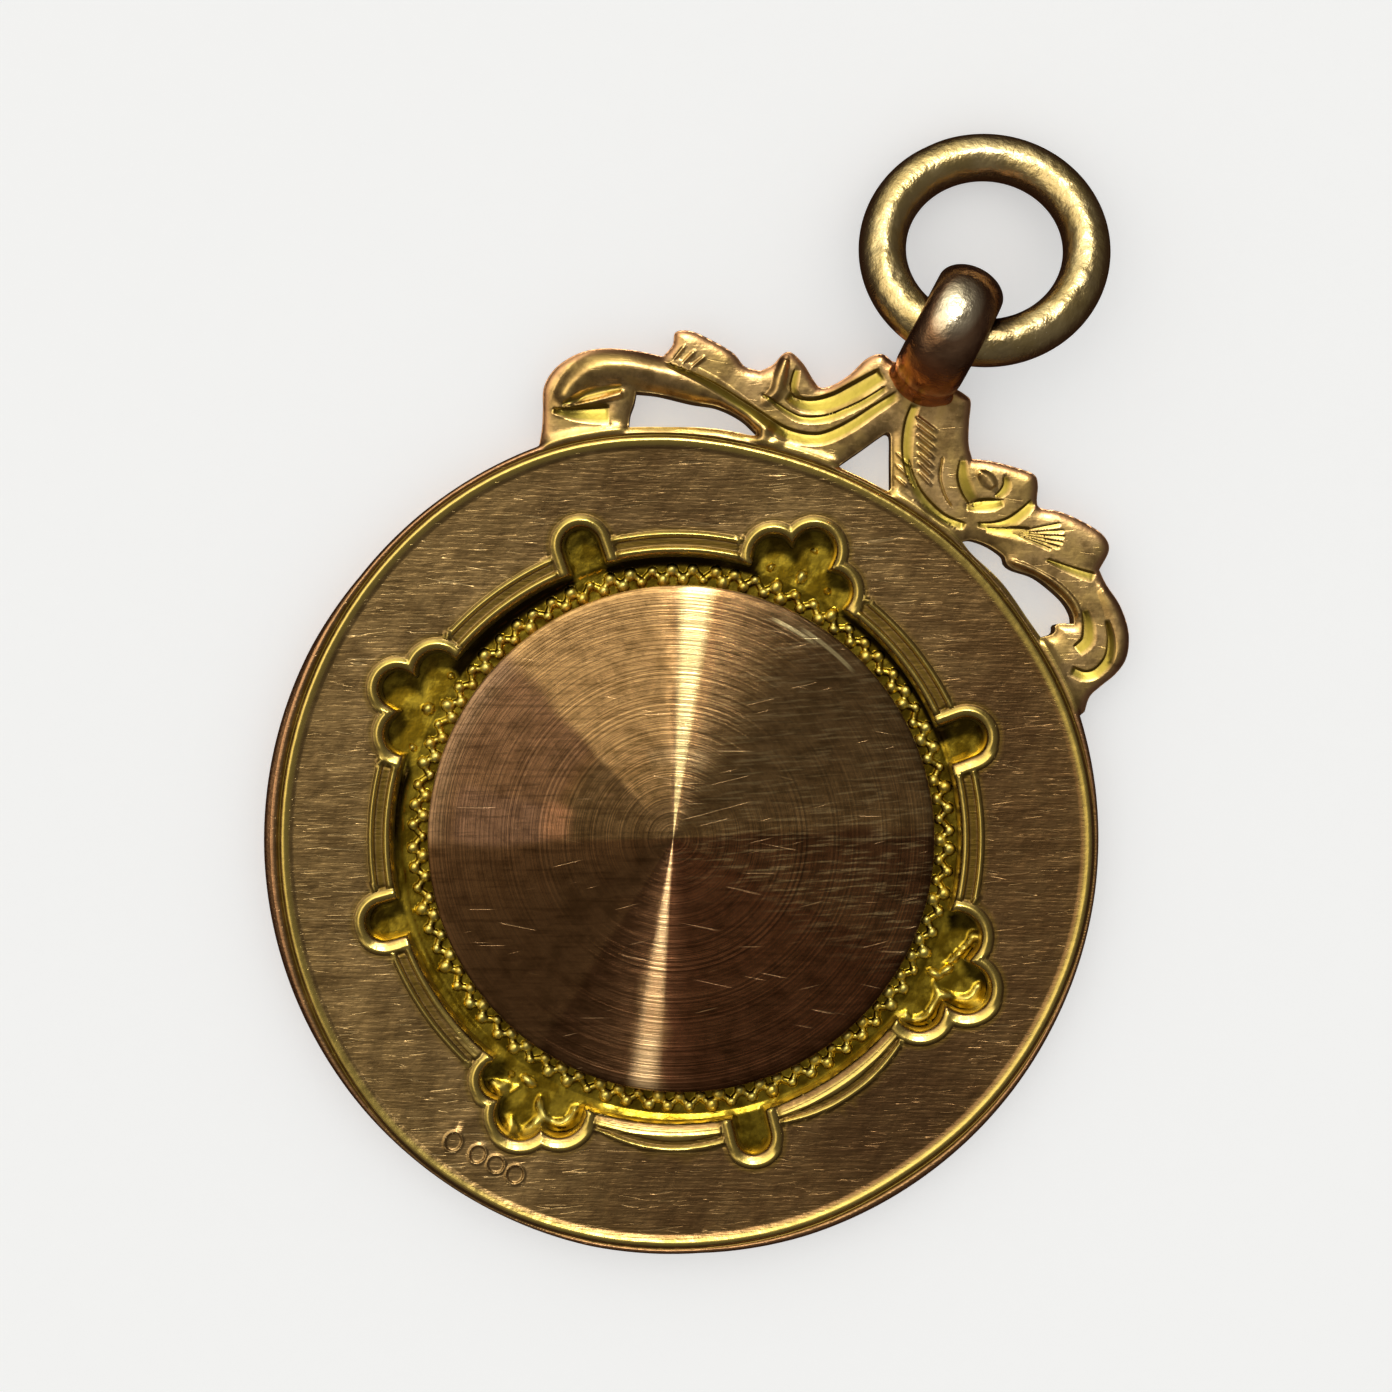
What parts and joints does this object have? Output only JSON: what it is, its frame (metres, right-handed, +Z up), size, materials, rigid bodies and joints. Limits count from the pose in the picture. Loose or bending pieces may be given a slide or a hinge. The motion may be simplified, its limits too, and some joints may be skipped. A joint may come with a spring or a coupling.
{
  "type": "engraved disc pendant",
  "caption": "Round gold fob pendant with a turned centre disc in a lobed beaded border, a pierced scroll crest and a jump ring.",
  "frame": {"origin": "centre of the round plate on the surface that the pendant lies on", "axes": "+Y from the disc to the jump ring, +Z up out of the decorated side, +X to the right as the pendant is read with its ring at the top"},
  "size_m": [0.026, 0.0373, 0.0044],
  "materials": {
    "frame": "worn 9 ct gold, brushed flat with polished ridges and bright cut engraving",
    "stamped_panel": "bright stamped yellow gold",
    "centre_disc": "turned rose gold with fine concentric marks",
    "jump_ring": "satin gold, rubbed by wear"
  },
  "bodies": {
    "root": {"frame": "frame", "stamped_panel": "stamped_panel", "centre_disc": "centre_disc", "jump_ring": "jump_ring"}
  },
  "joints": []
}
